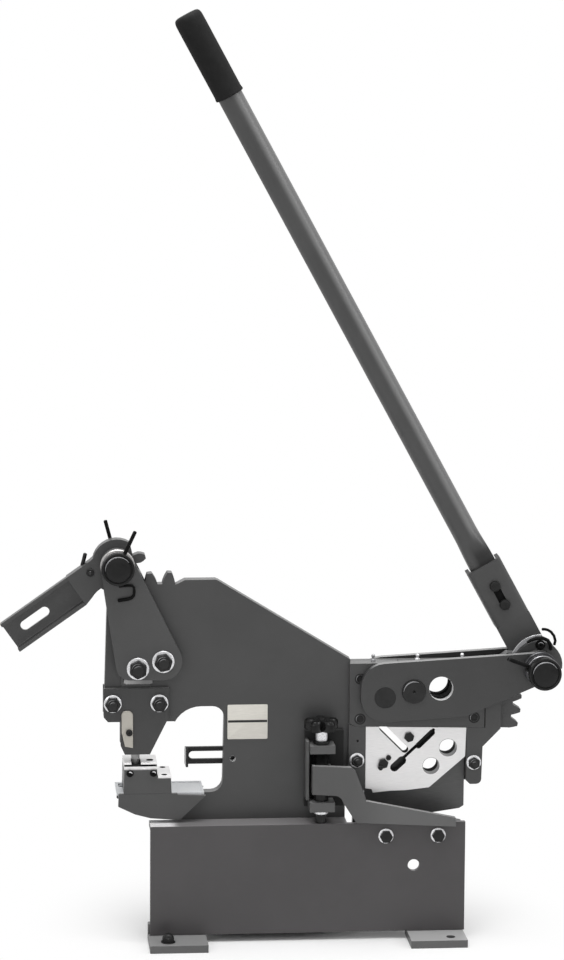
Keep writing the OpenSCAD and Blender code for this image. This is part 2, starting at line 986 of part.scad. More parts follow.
// The lever's socket: its web stands behind the hub, round the hub's boss
module lever_socket() {
    color([0.33, 0.33, 0.34]) {
        socket(lever_hub_at, lever_angle, 84, 191, 62, 34, web_front, -1, 114, 152, 6.6);
        plate(web_front, web_front + web_t)
            difference() {
                translate(lever_hub_at)
                    rotate(lever_angle)
                        polygon([[4, -31], [84, -31], [84, 31], [30, 31], [4, 25]]);
                hole(lever_hub_at, 27.1);
            }
    }
}

tube_y = web_front + web_t + 0.1 + tube_d / 2;
module along_lever() {
    translate([lever_hub_at[0], tube_y, lever_hub_at[1]])
        rotate([0, 90 - lever_angle, 0])
            children();
}

module lever_tube() {
    color([0.32, 0.32, 0.33])
        along_lever()
            difference() {
                translate([0, 0, 88])
                    cylinder(d = tube_d, h = lever_reach - 8 - 88);
                translate([0, 0, 87])
                    cylinder(d = tube_d - 6.5, h = lever_reach - 94);
                for (r = lever_bolts)
                    translate([0, 0, r])
                        rotate([90, 0, 0])
                            cylinder(r = 6.2, h = tube_d + 2, center = true);
            }
}

module lever_grip() {
    color([0.17, 0.17, 0.17])
        along_lever()
            difference() {
                union() {
                    translate([0, 0, lever_reach - grip_len])
                        cylinder(d = grip_d, h = grip_len - 6);
                    translate([0, 0, lever_reach - 6])
                        cylinder(d1 = grip_d, d2 = grip_d - 8, h = 6);
                }
                translate([0, 0, lever_reach - grip_len - 1])
                    cylinder(d = tube_d + 0.2, h = grip_len - 6.5);
            }
}

lever_bolts = [115, 151];
module socket_bolts() {
    color([0.12, 0.12, 0.13])
        for (r = lever_bolts) {
            at = polar(lever_hub_at, r, lever_angle);
            rod_y(at, 9, web_front - 7, web_front);
            rod_y(at, 6, web_front - 1, tube_y + tube_d / 2 + 12);
            rod_y(at, 9.5, tube_y + tube_d / 2, tube_y + tube_d / 2 + 8);
        }
}

// Hold-down clamp

spindle_at = [22, -40];
module clamp_bracket() {
    color([0.27, 0.27, 0.28])
        difference() {
            union() {
                translate([-4, -half_t - 8, 222])
                    cube([66, 8, 130]);
                translate([-4, -46, 240])
                    cube([5, 36, 100]);
                for (z = [222, 321.5])
                    translate([1.5, -58, z])
                        cube([42, 48, z > 300 ? 13.5 : 16]);
            }
            translate([spindle_at[0], spindle_at[1], 200])
                cylinder(r = 10.1, h = 160);
        }
}

module clamp_arm() {
    color([0.34, 0.34, 0.35])
        difference() {
            union() {
                plate(-63, -53)
                    polygon(concat(
                        [[247.3, 195.3], [246.5, 210.2], [95.6, 241.3], [92.5, 252.5],
                         [77.4, 291.6], [70, 299], [4.9, 302.5], [4.9, 254], [42, 251.5]],
                        arc([42, 236.5], 15, 80, 10, 4),
                        [[79.1, 204.5]]
                    ));
                translate([5, -54, 254])
                    cube([34, 30, 42]);
            }
            translate([spindle_at[0], spindle_at[1], 200])
                cylinder(r = 12.35, h = 160);
        }
}

module clamp_spindle() {
    color([0.20, 0.20, 0.21])
        translate([spindle_at[0], spindle_at[1], 0]) {
            translate([0, 0, 201])
                cylinder(r = 8, h = 30);
            translate([0, 0, 213])
                cylinder(r = 12.3, h = 8);
            translate([0, 0, 215])
                cylinder(r = 10, h = 145);
            translate([0, 0, 238.5])
                cylinder(r = 12.3, h = 82.5);
            translate([0, 0, 335.5])
                cylinder(r = 14, h = 6);
        }
}

module clamp_knob() {
    color([0.08, 0.08, 0.08])
        translate([spindle_at[0], spindle_at[1], 358]) {
            difference() {
                linear_extrude(20)
                    union() {
                        circle(r = 18);
                        for (i = [0 : 4])
                            rotate(i * 72 + 18)
                                slot2([0, 0], [22, 0], 8);
                    }
                translate([0, 0, -1])
                    cylinder(r = 10.05, h = 3);
            }
        }
}

// Plate for markings, left blank
module name_plate() {
    color([0.74, 0.72, 0.66])
        translate([-134.4, -half_t - 1, 337])
            cube([69.5, 1, 59]);
}

// Back gauge
module gauge_bar() {
    color([0.12, 0.12, 0.13]) {
        plate(half_t + gap, half_t + gap + 6)
            difference() {
                polygon([[-203.5, 290], [-40, 290], [-40, 319], [-203.5, 319]]);
                slot2([-190, 305], [-60, 305], 6.8);
            }
        translate([-203.5, 0, 0])
            rotate([90, 0, 90])
                linear_extrude(4)
                    polygon([[-14, 291], [-14, 322], [-8, 325], [22, 314], [22, 288]]);
    }
}

module gauge_screw() {
    color([0.15, 0.15, 0.16]) {
        rod_y([-124.3, 303.4], 4.9, -4, half_t + 20);
        rod_y([-124.3, 303.4], 13, half_t + gap + 6.3, half_t + 16);
    }
}

frame_plate();
base_plate();
left_foot();
right_foot();
rear_foot();
base_screws();
punch_guide_front();
punch_guide_rear();
punch_guide_bolts();
punch_finger();
stripper();
die();
die_holder();
die_table();
jaw_cheek_front();
jaw_cheek_rear();
jaw_screws();
pivot_plate_front();
left_strip_front();
right_guide_front();
gear_segment();
housing_rear();
housing_screws();
section_blade();
blade_screws();
lower_blade();
blade_block();
shear_pivot_pin();
punch_pivot_bolt();
oilers();
clamp_bracket();
name_plate();
gauge_screw();
top_bar();
shear_arm_front();
shear_arm_rear();
drive_pin();
lever_pin();
lever_hub();
lever_socket();
lever_tube();
lever_grip();
socket_bolts();
blade_carrier();
upper_blade();
punch_cheek_front();
punch_cheek_rear();
link_bolt();
punch_hub_pin();
punch_hub();
punch_socket();
ram();
punch();
clamp_arm();
clamp_spindle();
clamp_knob();
gauge_bar();
step_plate();
link_strip();
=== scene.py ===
"""Manual punch and bar shear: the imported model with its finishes, fasteners and small parts."""
import math

import bmesh
import bpy
from mathutils import Matrix, Vector


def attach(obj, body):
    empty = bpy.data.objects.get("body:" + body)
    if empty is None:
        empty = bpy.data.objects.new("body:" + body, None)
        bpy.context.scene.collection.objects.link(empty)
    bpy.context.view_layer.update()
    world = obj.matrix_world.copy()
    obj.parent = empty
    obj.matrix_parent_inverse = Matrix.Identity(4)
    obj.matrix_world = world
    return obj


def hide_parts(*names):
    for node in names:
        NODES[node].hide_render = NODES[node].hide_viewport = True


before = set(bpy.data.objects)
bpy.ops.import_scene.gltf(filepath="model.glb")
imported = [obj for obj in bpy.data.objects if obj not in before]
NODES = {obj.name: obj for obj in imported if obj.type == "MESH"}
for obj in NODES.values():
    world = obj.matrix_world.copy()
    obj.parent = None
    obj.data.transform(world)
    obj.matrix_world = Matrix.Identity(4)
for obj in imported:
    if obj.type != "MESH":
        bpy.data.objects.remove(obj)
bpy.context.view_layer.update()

# Lengths are millimetres up to the mesh. X runs to the right, Y to the back and Z up.
MM = 0.001
FRONT, BACK, UP = (0, -1, 0), (0, 1, 0), (0, 0, 1)

# Axes that run from front to back, as X and Z
PUNCH_HUB = (-319.38, 638.306)
LEVER_HUB = (392.042, 456.15)
CHEEK_PIVOT = (-243, 476)
LINK = (-285, 464.6)
DRIVE_PIN = (178.4, 419)
GAUGE_SCREW = (-124.3, 303.4)

# The upright axis of the hold-down, as X and Y
SPINDLE = (22, -40)

# How far outer faces lie from the middle of the frame plate, in front and behind
SIDE_FACE = 18
LINK_FACE = 30.5
CHEEK_FACE = 31
BASE_FACE = 51

# Holes seen through from the front: X and Z of the axis, and the radius
ROUND_BARS = ((239, 319.1, 15), (210.5, 288.2, 14.2))
SPARE_HOLE = (224.4, 423.7, 20.1)
SPARE_BEHIND = (224.6, 423.7, 21.2)

# The hand lever leans to the left by this angle
LEAN = math.radians(28.6)
ALONG = Vector((-math.sin(LEAN), 0, math.cos(LEAN)))
ACROSS = Vector((math.cos(LEAN), 0, math.sin(LEAN)))
TUBE_RADIUS = 21.2
TUBE_FRONT = 16.4

# Faces that meet at a greater angle have a sharp edge between them
SHARP = math.radians(32)
# Marks darker than this are painted shade in hollows, without sheen
PAINTED_SHADE_LEVEL = 40
# Sockets of a Mix node that is set to colours
MIX_FACTOR, MIX_FIRST, MIX_SECOND, MIX_RESULT = 0, 6, 7, 2


# Node trees
class Value:
    """A socket of a node tree. Arithmetic on it adds Math nodes."""

    def __init__(self, tree, socket):
        self.tree = tree
        self.socket = socket

    def _math(self, operation, *terms):
        return self.tree.node("ShaderNodeMath", {"operation": operation}, dict(enumerate(terms)))

    def __add__(self, other): return self._math("ADD", self, other)
    def __radd__(self, other): return self._math("ADD", other, self)
    def __sub__(self, other): return self._math("SUBTRACT", self, other)
    def __rsub__(self, other): return self._math("SUBTRACT", other, self)
    def __mul__(self, other): return self._math("MULTIPLY", self, other)
    def __rmul__(self, other): return self._math("MULTIPLY", other, self)
    def __truediv__(self, other): return self._math("DIVIDE", self, other)
    def over(self, other): return self._math("GREATER_THAN", self, other)
    def under(self, other): return self._math("LESS_THAN", self, other)
    def high(self, other): return self._math("MAXIMUM", self, other)
    def absolute(self): return self._math("ABSOLUTE", self)


class Tree:
    """The node tree of a material or of the world."""

    def __init__(self, owner, output):
        owner.use_nodes = True
        self.owner = owner
        self.nodes = owner.node_tree.nodes
        self.links = owner.node_tree.links
        self.nodes.clear()
        self.output = self.nodes.new(output)

    def node(self, kind, settings=None, inputs=None, output=0):
        """Adds a node: its settings first, then the values or links of its sockets."""
        made = self.nodes.new(kind)
        for name, setting in (settings or {}).items():
            setattr(made, name, setting)
        for socket, given in (inputs or {}).items():
            if isinstance(given, Value):
                self.links.new(given.socket, made.inputs[socket])
            else:
                made.inputs[socket].default_value = given
        return Value(self, made.outputs[output])

    def show(self, shader):
        self.links.new(shader.socket, self.output.inputs[0])


class Finish(Tree):
    """A material with one Principled shader."""

    def __init__(self, name, **fixed):
        super().__init__(bpy.data.materials.new(name), "ShaderNodeOutputMaterial")
        self.principled = self.nodes.new("ShaderNodeBsdfPrincipled")
        for socket, given in fixed.items():
            self.principled.inputs[socket.replace("_", " ")].default_value = given
        self.shader = Value(self, self.principled.outputs[0])
        self.show(self.shader)

    def vary(self, **varying):
        """Links sockets of the shader to values that change over the surface."""
        for socket, value in varying.items():
            self.links.new(value.socket, self.principled.inputs[socket.replace("_", " ")])
        return self.owner

    def place(self, stretch=(1, 1, 1)):
        """Object coordinates in metres, stretched."""
        where = self.node("ShaderNodeTexCoord", output="Object")
        return self.node("ShaderNodeMapping", None, {"Vector": where, "Scale": stretch})

    def noise(self, scale, detail, rough=0.5, stretch=(1, 1, 1)):
        return self.node("ShaderNodeTexNoise", None, {
            "Vector": self.place(stretch), "Scale": scale, "Detail": detail, "Roughness": rough})

    def steps(self, value, low, high):
        """0 below low, 1 above high, smooth between."""
        return self.node("ShaderNodeMapRange", {"interpolation_type": "SMOOTHSTEP"},
                         {"Value": value, "From Min": low, "From Max": high})

    def blend(self, mask, first, second):
        """The first colour where the mask is 0 and the second where it is 1."""
        return self.node("ShaderNodeMix", {"data_type": "RGBA"}, {
            MIX_FACTOR: mask, MIX_FIRST: first, MIX_SECOND: second}, output=MIX_RESULT)

    def bump(self, height, depth, strength):
        return self.node("ShaderNodeBump", None,
                         {"Strength": strength, "Distance": depth, "Height": height})

    def facing(self, axis):
        """How far a face looks along X, Y or Z, in the piece's own frame."""
        normal = self.node("ShaderNodeTexCoord", output="Normal")
        return self.node("ShaderNodeSeparateXYZ", None, {"Vector": normal}, output=axis)

    def level_faces(self):
        """1 where a face looks up, 0 where it is upright."""
        return self.steps(self.facing("Z"), 0.72, 0.95)

    def front_faces(self):
        """1 where a face looks to the front."""
        return self.facing("Y").under(-0.8)

    def at(self, axis):
        """The place of a point along X, Y or Z, in millimetres."""
        return self.node("ShaderNodeSeparateXYZ", None, {"Vector": self.place()},
                         output=axis) / MM

    def apart(self, centre, counted):
        """The distance in millimetres from a line through a centre. The line's own axis is 0
        in counted and the others are 1."""
        away = self.node("ShaderNodeVectorMath", {"operation": "SUBTRACT"},
                         {0: self.place(), 1: tuple(c * MM for c in centre)})
        flat = self.node("ShaderNodeVectorMath", {"operation": "MULTIPLY"},
                         {0: away, 1: counted})
        return self.node("ShaderNodeVectorMath", {"operation": "LENGTH"}, {0: flat},
                         output="Value") / MM

    def well(self, x, y, radius):
        """1 inside an upright hole whose axis stands at x and y."""
        return self.apart((x, y, 0), (1, 1, 0)).under(radius + 0.3)

    def bore(self, x, z, radius):
        """1 inside a hole from front to back whose axis lies at x and z."""
        return self.apart((x, 0, z), (1, 0, 1)).under(radius + 0.25)

    def marked(self, base, marks, tint=(0, 0, 0)):
        """Lays marks, each a mask and a level, over a colour. Also gives a mask of the painted
        shade in hollows among them, or None."""
        shaded_hollow = None
        for mask, level in marks:
            base = self.blend(mask, base, colour(level, tint))
            if level < PAINTED_SHADE_LEVEL:
                shaded_hollow = mask if shaded_hollow is None else shaded_hollow.high(mask)
        return base, shaded_hollow


def colour(level, tint=(0, 0, 0)):
    """A grey given as 0-255 in the picture's own scale, with a small tint added to each part."""
    parts = [(level + t) / 255 for t in tint]
    return (*(p / 12.92 if p <= 0.04045 else ((p + 0.055) / 1.055) ** 2.4 for p in parts), 1)


# Kinds of finish. Levels are greys as colour() takes them.
def plain(f):
    """No marks."""
    return []


def painted_bore_shade(*holes):
    """Painted shade: black walls in holes that run from front to back."""
    return lambda f: [(f.bore(*hole), 12) for hole in holes]


def paint(name, level, tint=(0, 0, 0), roughness=0.42, top=118, under=plain, over=plain,
          specular=0.45, peel=0.35):
    """Sprayed machine paint: fine orange peel, faint clouding, rubbed edges, and painted light
    that brings level faces to top. Marks lie under that painted light or over it."""
    f = Finish(name, IOR=1.5, Specular_IOR_Level=specular)
    cloud = f.noise(7, 4, 0.6)
    grain = f.noise(420, 2, 0.55)
    speck = f.steps(f.noise(900, 1, 0.5), 0.70, 0.74)
    scuff = f.steps(f.noise(36, 5, 0.7, (1, 1, 3)), 0.60, 0.72)
    shade = f.blend(f.steps(cloud, 0.35, 0.65), colour(level - 2, tint), colour(level + 2, tint))
    shade = f.blend(speck * 0.25, shade, colour(level + 34, tint))
    shade = f.blend(scuff * 0.10, shade, colour(level + 22, tint))
    shade = f.marked(shade, under(f), tint)[0]
    # Painted light on faces that look up, darkening them where top is below the paint's level
    shade = f.blend(f.level_faces() * 0.92, shade, colour(top, tint))
    shade, shaded_hollow = f.marked(shade, over(f), tint)
    rough = roughness + cloud * 0.10 - 0.05 + scuff * 0.08
    if shaded_hollow is not None:
        rough = rough.high(shaded_hollow)
    return f.vary(Base_Color=shade, Roughness=rough, Normal=f.bump(grain, 0.00006, peel))


def blackened(name, level, roughness=0.4, over=plain, specular=0.3):
    """Black oxide: an oily black film with grey wear where it is handled."""
    f = Finish(name, IOR=1.45, Specular_IOR_Level=specular)
    cloud = f.noise(60, 4, 0.6)
    worn = f.steps(f.noise(210, 3, 0.7), 0.60, 0.75)
    shade = f.blend(f.steps(cloud, 0.3, 0.7), colour(level), colour(level + 8))
    shade = f.blend(worn * 0.35, shade, colour(level + 34))
    shade = f.marked(shade, over(f))[0]
    return f.vary(Base_Color=shade, Roughness=roughness + cloud * 0.18 - 0.09,
                  Normal=f.bump(f.noise(900, 2), 0.00004, 0.4))


def ground(name, level, tint=(0, 0, 0), stretch=(1, 1, 40), roughness=0.34, metallic=0.55,
           bloom_depth=26, over=plain):
    """Surface-ground steel: fine parallel scratches and a faint oily bloom."""
    f = Finish(name, Metallic=metallic)
    lines = f.noise(60, 5, 0.65, stretch)
    bloom = f.steps(f.noise(14, 3, 0.5), 0.52, 0.8)
    shade = f.blend(f.steps(lines, 0.3, 0.7), colour(level - 8, tint), colour(level + 6, tint))
    shade = f.blend(bloom * 0.35, shade, colour(level - bloom_depth, tint))
    shade, shaded_hollow = f.marked(shade, over(f))
    rough = roughness + lines * 0.2 - 0.1
    if shaded_hollow is not None:
        rough = rough.high(shaded_hollow)
        f.vary(Metallic=(1 - shaded_hollow) * metallic)
    return f.vary(Base_Color=shade, Roughness=rough, Normal=f.bump(lines, 0.00003, 0.5))


def plated(name, level, tint=(0, 0, 0), roughness=0.28, metallic=0.85, over=plain):
    """Bright zinc plating with a fine frosting."""
    f = Finish(name, Metallic=metallic)
    frost = f.noise(700, 2, 0.6)
    cloud = f.noise(90, 3, 0.6)
    shade = f.blend(f.steps(cloud, 0.3, 0.7), colour(level - 14, tint), colour(level + 8, tint))
    shade = f.marked(shade, over(f))[0]
    return f.vary(Base_Color=shade, Roughness=roughness + frost * 0.16 - 0.08,
                  Normal=f.bump(frost, 0.00002, 0.4))


# Painted light and shade on single pieces
def tube_painted_light(f):
    """Painted light on the lever's tube: a painted sheen along it, painted shade where it is
    pressed flat, and black painted shade in the slot.
    """
    x, z = f.at("X") - LEVER_HUB[0], f.at("Z") - LEVER_HUB[1]
    sideways = x * math.cos(LEAN) + z * math.sin(LEAN)
    outward = z * math.cos(LEAN) - x * math.sin(LEAN)
    sheen = f.steps(sideways, 1, 9) * f.steps(outward, 226, 262)
    pressed = (1 - f.steps(outward, 206, 240)) * f.steps(sideways, -14, -2)
    return [(sheen, 104), (pressed * 0.85, 34), (outward.under(150), 18)]


def section_painted_shade(f):
    """Painted shade on the walls of the section blade's openings: grey in the round ones, dark in
    the slots, one of which falls to the right and one rises."""
    x, z = f.at("X"), f.at("Z")
    falling = (x + z - 482.8).absolute().under(9.2) * x.under(172)
    rising = (x - z + 134.3).absolute().under(9.2) * x.under(222)
    rounds = [(f.bore(*hole), 104) for hole in ROUND_BARS]
    return rounds + [(falling.high(rising) * (1 - f.front_faces()), 16)]


def die_painted_shade(f):
    """Painted shade: dark holes, and a dark line where the stripper and the die are apart."""
    wells = [(f.well(*hole), 16) for hole in ((-264, -9, 6), (-240, -18, 4.6), (-240, 29, 4.6))]
    return wells + [(f.at("Z").over(296.9) * f.at("Z").under(300.1), 18)]


def upper_blade_painted_shade(f):
    """Painted shade behind the slots, and black painted shade behind the round openings."""
    shade = [(f.at("X").under(225) * f.at("Z").over(262), 62)]
    return shade + [(f.bore(*hole) * f.at("Y").over(-2), 12) for hole in ROUND_BARS]


# Paints. Each top is painted light on level faces, painted shade where it lies below the paint's
# level
FRAME_PAINT = paint("frame_paint", 65)
INNER_PAINT = paint("inner_paint", 65, over=painted_bore_shade(SPARE_BEHIND))
HOUSING_PAINT = paint("housing_paint", 65, over=painted_bore_shade(*ROUND_BARS, SPARE_BEHIND))
GUIDE_PAINT = paint("guide_paint", 58)
# The spare hole's wall is pale: bare bored metal, lightened further as a painted highlight of the
# lit wall
ARM_PAINT = paint("arm_paint", 58, top=150, over=lambda f: [(f.bore(*SPARE_HOLE), 225)])
# Painted shade: darker than the front arm in the gap between the arms; behind Y 20.5 it keeps a
# grey of 60
REAR_ARM_PAINT = paint("rear_arm_paint", 36, top=165, over=painted_bore_shade(SPARE_BEHIND),
                       under=lambda f: [(f.at("Y").over(20.5), 60)])
CHEEK_PAINT = paint("cheek_paint", 70)
# Painted reflection: level faces left of X -234 to -214 painted near white, as the white room
# mirrored in them
BASE_PAINT = paint("base_paint", 68, (2, 0, 1), top=128, over=lambda f: [
    (f.level_faces() * (1 - f.steps(f.at("X"), -234, -214)), 236)])
DARK_PAINT = paint("dark_paint", 52, roughness=0.5)
# Painted shade: behind Y -26.4 the back plate is painted 38
BRACKET_PAINT = paint("bracket_paint", 82, roughness=0.5, top=135, over=lambda f: [
    (f.at("Y").over(-26.4), 38)])
# Painted light: lighter towards the right, from X 60 to 150
CLAMP_PAINT = paint("clamp_paint", 80, top=150, under=lambda f: [
    (f.steps(f.at("X"), 60, 150), 95)])
# Painted light: level faces of the right foot, right of X 0, painted lighter
FOOT_PAINT = paint("foot_paint", 92, roughness=0.46, top=144, over=lambda f: [
    (f.level_faces() * f.at("X").over(0), 172)])
LEVER_PAINT = paint("lever_paint", 67, roughness=0.36, top=84)
# Painted shade: level faces painted down to 24, on the socket's flange ends
SOCKET_PAINT = paint("socket_paint", 80, roughness=0.4, top=24, specular=0.15)
TUBE_PAINT = paint("tube_paint", 70, roughness=0.36, top=84, over=tube_painted_light, peel=0.14)
FINGER_PAINT = paint("finger_paint", 180, (3, -1, -10), 0.5, top=214)

# Ground and bare steels
BLADE_STEEL = ground("ground_steel", 226, (1, 0, 0), metallic=0.7, over=section_painted_shade)
DIE_STEEL = ground("die_steel", 240, (1, 0, 0), metallic=0.7, over=die_painted_shade)
STRIP_STEEL = ground("strip_steel", 160, (1, 0, 0), over=lambda f: [
    (f.steps(f.at("X"), -306, -268), 118)])
# Painted shade: a black well at X -308, in the hole
TABLE_STEEL = ground("table_steel", 208, (0, 2, 4), (30, 1, 1), 0.42,
                     over=lambda f: [(f.well(-308, 26, 6.5), 14)])
TOOL_STEEL = ground("tool_steel", 86, roughness=0.4, metallic=0.5,
                    over=painted_bore_shade(SPARE_BEHIND))
SHADED_STEEL = ground("shaded_steel", 86, roughness=0.4, metallic=0.5,
                      over=upper_blade_painted_shade)
PUNCH_STEEL = ground("punch_steel", 150, roughness=0.3, metallic=0.7)
PLATE_BLANK = ground("blank_plate", 212, (3, 0, -8), (1, 1, 30), 0.5, 0.25, 8)

# Blackened steels, rubber and plastic
BLACK = blackened("black_steel", 22)
CAP_BLACK = blackened("black_cap", 15, 0.3)
WIRE_BLACK = blackened("black_wire", 10, 0.5, specular=0.1)
# Painted light: left of X -203.4 the flange is painted pale grey, on its lit left face
GAUGE_BLACK = blackened("gauge_black", 24, over=lambda f: [(f.at("X").under(-203.4), 188)])
PIN_STEEL = blackened("pin_steel", 32, 0.36)
NUT_FACE = blackened("nut_face", 32, 0.34)
GRIP = blackened("grip_rubber", 17, 0.66, specular=0.22)
KNOB = blackened("knob_plastic", 14, 0.2)
PLATE_BAND = blackened("plate_band", 40, 0.5)

# Plated and polished steels
ZINC = plated("zinc", 236, (0, 0, 2), metallic=0.5)
BRIGHT_EDGE = plated("bright_edge", 245, metallic=0.1)
FASTENER = plated("fastener", 150, (0, 0, 2), 0.34)
HUB_STEEL = plated("hub_steel", 74, (0, 0, 2), 0.36)
# Painted shade: below Z 626 to 646 the boss ring is painted dark, on its lower half
BOSS = plated("boss", 186, (2, 0, -1), 0.36, over=lambda f: [
    (1 - f.steps(f.at("Z"), 626, 646), 62)])
# A bright grey for painted highlights on rims
RIM_HIGHLIGHT = plated("painted_rim_highlight", 168, (0, 0, 2), 0.4)


# Shapes
class Form:
    """The skin of one piece. Each face has a finish."""

    def __init__(self):
        self.skin = bmesh.new()
        self.finishes = []

    def face(self, corners, finish):
        if finish not in self.finishes:
            self.finishes.append(finish)
        made = self.skin.faces.new(corners)
        made.material_index = self.finishes.index(finish)
        made.smooth = True

    def rings(self, rings, finish, ends=True):
        """Quads between rings of points, all of one length, with both ends filled if wanted."""
        rows = [[self.skin.verts.new(p) for p in ring] for ring in rings]
        size = len(rows[0])
        for near, far in zip(rows, rows[1:]):
            for i in range(size):
                j = (i + 1) % size
                self.face((near[i], near[j], far[j], far[i]), finish)
        if ends:
            self.face(rows[0][::-1], finish)
            self.face(rows[-1], finish)

    def turned(self, at, towards, profile, finish, sides=40, turn=0.0):
        """A turned shape. Each row of the profile is a radius and a height, and for a
        hexagonal row also the width across flats."""
        axis = Vector(towards).normalized()
        across = Vector((0, 0, 1)) if abs(axis.z) < 0.9 else Vector((1, 0, 0))
        side = axis.cross(across).normalized()
        up = side.cross(axis)
        rings = []
        for radius, height, *flats in profile:
            ring = []
            for i in range(sides):
                a = 2 * math.pi * i / sides
                r = radius
                if flats:
                    b = (a + turn) % (math.pi / 3) - math.pi / 6
                    r = min(radius, flats[0] / 2 / math.cos(b))
                ring.append(Vector(at) + axis * height + side * (r * math.cos(a))
                            + up * (r * math.sin(a)))
            rings.append(ring)
        self.rings(rings, finish)

    def shank(self, at, towards, radius, length, finish, sides=24):
        """A plain round bar."""
        self.turned(at, towards, [(radius, 0), (radius, length)], finish, sides)

    def wire(self, path, radius, finish, sides=12, widths=None):
        """A round wire through the points of a path, with rounded ends."""
        path = [Vector(p) for p in path]
        side = (path[1] - path[0]).normalized().orthogonal().normalized()
        rings = []
        for i, point in enumerate(path):
            tangent = (path[min(i + 1, len(path) - 1)] - path[max(i - 1, 0)]).normalized()
            side = (side - tangent * side.dot(tangent)).normalized()
            up = tangent.cross(side)
            r = radius * (widths[i] if widths else 1)
            steps = [(r, 0)]
            if i == 0:
                steps = [(0.45 * r, -0.4 * r), (0.85 * r, -0.2 * r), (r, 0)]
            if i == len(path) - 1:
                steps = [(r, 0), (0.85 * r, 0.2 * r), (0.45 * r, 0.4 * r)]
            for width, shift in steps:
                rings.append([point + tangent * shift + side * (width * math.cos(a))
                              + up * (width * math.sin(a))
                              for a in (2 * math.pi * k / sides for k in range(sides))])
        self.rings(rings, finish)

    def glint(self, axis, y, radius, finish, thick=0.6, start=170, end=70):
        """A slim bright crescent, a painted highlight where a round edge seen from the front
        catches the light. It runs about an axis from one angle to another, in degrees, and thins
        at its ends."""
        parts = 10
        angles = [start + (end - start) * i / parts for i in range(parts + 1)]
        widths = [0.25 + 0.75 * math.sin(math.pi * i / parts) for i in range(parts + 1)]
        self.wire([on_axis(around(axis, radius, a), y) for a in angles], thick, finish, 8, widths)

    def slab(self, outline, y0, y1, finish, edge=0.6):
        """An upright plate of a given outline in X and Z, its front edges rounded off."""
        middle = Vector((sum(p[0] for p in outline), sum(p[1] for p in outline))) / len(outline)

        def ring(y, inset):
            row = []
            for x, z in outline:
                away = Vector((x, z)) - middle
                away *= 1 - inset / max(away.length, 1)
                row.append(Vector((middle.x + away.x, y, middle.y + away.y)))
            return row
        self.rings([ring(y1, 0), ring(y0 + edge, 0), ring(y0 + edge * 0.3, edge * 0.3),
                    ring(y0, edge)], finish)

    def made(self, name, body, *stands_for):
        """The piece itself, on its body and in place of the nodes that it stands for."""
        bmesh.ops.recalc_face_normals(self.skin, faces=self.skin.faces)
        mesh = bpy.data.meshes.new(name)
        bmesh.ops.scale(self.skin, vec=(MM, MM, MM), verts=self.skin.verts)
        self.skin.to_mesh(mesh)
        self.skin.free()
        for finish in self.finishes:
            mesh.materials.append(finish)
        mesh.shade_smooth()
        mesh.set_sharp_from_angle(angle=SHARP)
        piece = bpy.data.objects.new(name, mesh)
        bpy.context.scene.collection.objects.link(piece)
        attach(piece, body)
        if stands_for:
            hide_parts(*stands_for)


def around(axis, radius, degrees):
    """X and Z of a point at a radius and an angle about an axis."""
    a = math.radians(degrees)
    return axis[0] + radius * math.cos(a), axis[1] + radius * math.sin(a)


def outward(degrees):
    return (math.cos(math.radians(degrees)), 0, math.sin(math.radians(degrees)))


def on_axis(axis, y):
    """The point of a front-to-back axis at a depth."""
    return (axis[0], y, axis[1])


# Fasteners
def washer(form, at, towards, radius, thick, finish):
    """A washer with its outer face dished."""
    form.turned(at, towards, [(radius - 0.4, 0), (radius, 0.4), (radius, thick - 1.1),
                              (radius - 0.5, thick - 0.7), (radius * 0.62, thick)], finish, 48)


def hexagon(form, at, towards, flats, height, finish, turn=0.0, end=None):
    """A hexagonal head or nut, chamfered at its outer end. Its end face may have a finish
    of its own, with a dark ring round the stud."""
    corner = flats / math.sqrt(3)
    chamfer = [(corner - (corner - 0.455 * flats) * t, height - 0.07 * flats * (1 - t), flats)
               for t in (0, 0.25, 0.5, 0.75, 1)]
    form.turned(at, towards, [(0.47 * flats, 0), (corner, 0.4, flats)] + chamfer
                + [(0.44 * flats, height + 0.05)], finish, 48, turn)
    if end:
        form.turned(at, towards, [(0.445 * flats, height - 0.4), (0.445 * flats, height + 0.1),
                                  (0.33 * flats, height + 0.12), (0.31 * flats, height - 0.3)],
                    end, 48)


def stud(form, at, towards, radius, length, finish, end=None):
    """The threaded end of a bolt. Its end face may have a finish of its own."""
    profile = [(radius, 0)]
    turns = max(2, int(length / 1.8))
    for i in range(turns):
        h = length * (i + 0.3) / turns
        profile += [(radius, h), (radius - 0.7, h + 0.5 * length / turns)]
    form.turned(at, towards, profile + [(radius - 1.2, length)], finish, 32)
    if end:
        form.turned(at, towards, [(radius - 1.4, length - 0.3), (radius - 1.4, length + 0.2),
                                  (radius - 2, length + 0.5), (0.4, length + 0.6)], end, 32)


def through_bolt(form, axis, face, diameter, flats, height, radius, reach, turn=0.0):
    """A bolt right through two faces, with nuts, washers of a radius, and ends that reach
    past the nuts."""
    thick = 3
    for towards in (FRONT, BACK):
        outer = towards[1] * face
        nut = towards[1] * (face + thick)
        end = towards[1] * (face + thick + height)
        washer(form, on_axis(axis, outer), towards, radius, thick, ZINC)
        hexagon(form, on_axis(axis, nut), towards, flats, height, BLACK, turn, NUT_FACE)
        stud(form, on_axis(axis, end), towards, diameter / 2 - 0.2, reach, BLACK, NUT_FACE)
    # Painted highlights: a bright crescent on the front nut's edge and one on its stud's end
    nut_end = -(face + thick + height)
    form.glint(axis, nut_end - 0.1, diameter / 2 + 0.9, FASTENER, 0.55)
    form.glint(axis, nut_end - reach - 0.3, diameter / 2 - 2, FASTENER, 0.4, 150, 60)


def capped(form, axis, y, radius, height, key, finish):
    """A round screw head with a hexagonal recess, its face at depth y."""
    form.turned(on_axis(axis, y + height), FRONT, [
        (radius, 0), (radius, height - 0.6), (radius - 0.6, height), (key * 0.62, height),
        (key, height - 0.4, key), (key, height * 0.35, key), (key * 0.3, height * 0.3)],
        finish, 48)


